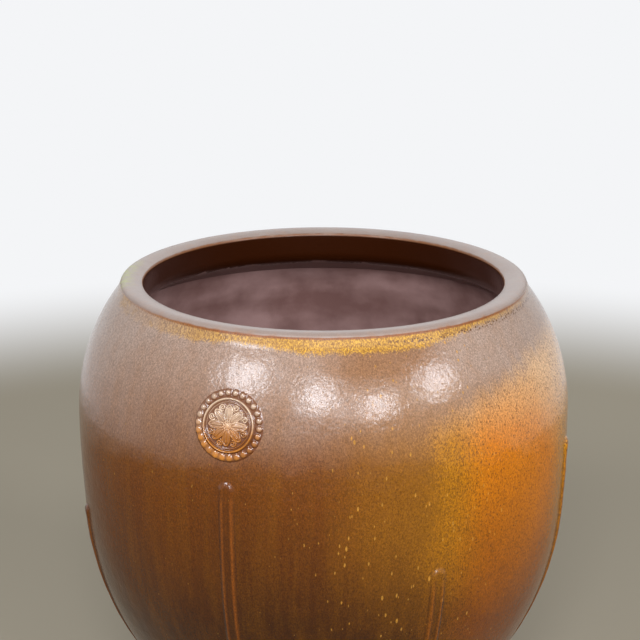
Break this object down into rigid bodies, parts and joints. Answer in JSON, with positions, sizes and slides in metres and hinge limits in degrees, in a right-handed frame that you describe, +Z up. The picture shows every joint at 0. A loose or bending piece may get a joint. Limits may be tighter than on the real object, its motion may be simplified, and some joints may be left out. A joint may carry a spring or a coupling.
{
  "type": "storage jar",
  "caption": "Large wide-mouthed glazed stoneware storage jar with a thick rim, applied vertical ribs and a beaded round medallion on the shoulder.",
  "frame": {"origin": "centre of the base's flat underside", "axes": "+Z up along the jar's axis and out of its mouth, -Y towards the front with the medallion"},
  "size_m": [0.5999, 0.6, 0.6],
  "materials": {
    "body_glaze": "satin iron glaze, mauve-brown to ochre",
    "rim_glaze": "satin grey-beige glaze",
    "pooled_glaze": "glossy amber glaze, pooled",
    "bare_clay": "bare fired clay"
  },
  "bodies": {
    "root": {"base_slab": "bare_clay", "lower_wall": "body_glaze", "belly_wall": "body_glaze", "shoulder_wall": "body_glaze", "rim_coil": "rim_glaze", "rib_left": "body_glaze", "rib_front_left": "body_glaze", "rib_front_right": "body_glaze", "rib_right": "body_glaze", "rib_back_right": "body_glaze", "rib_back_left": "body_glaze", "medallion_disc": "pooled_glaze", "medallion_beads": "pooled_glaze"}
  },
  "joints": []
}
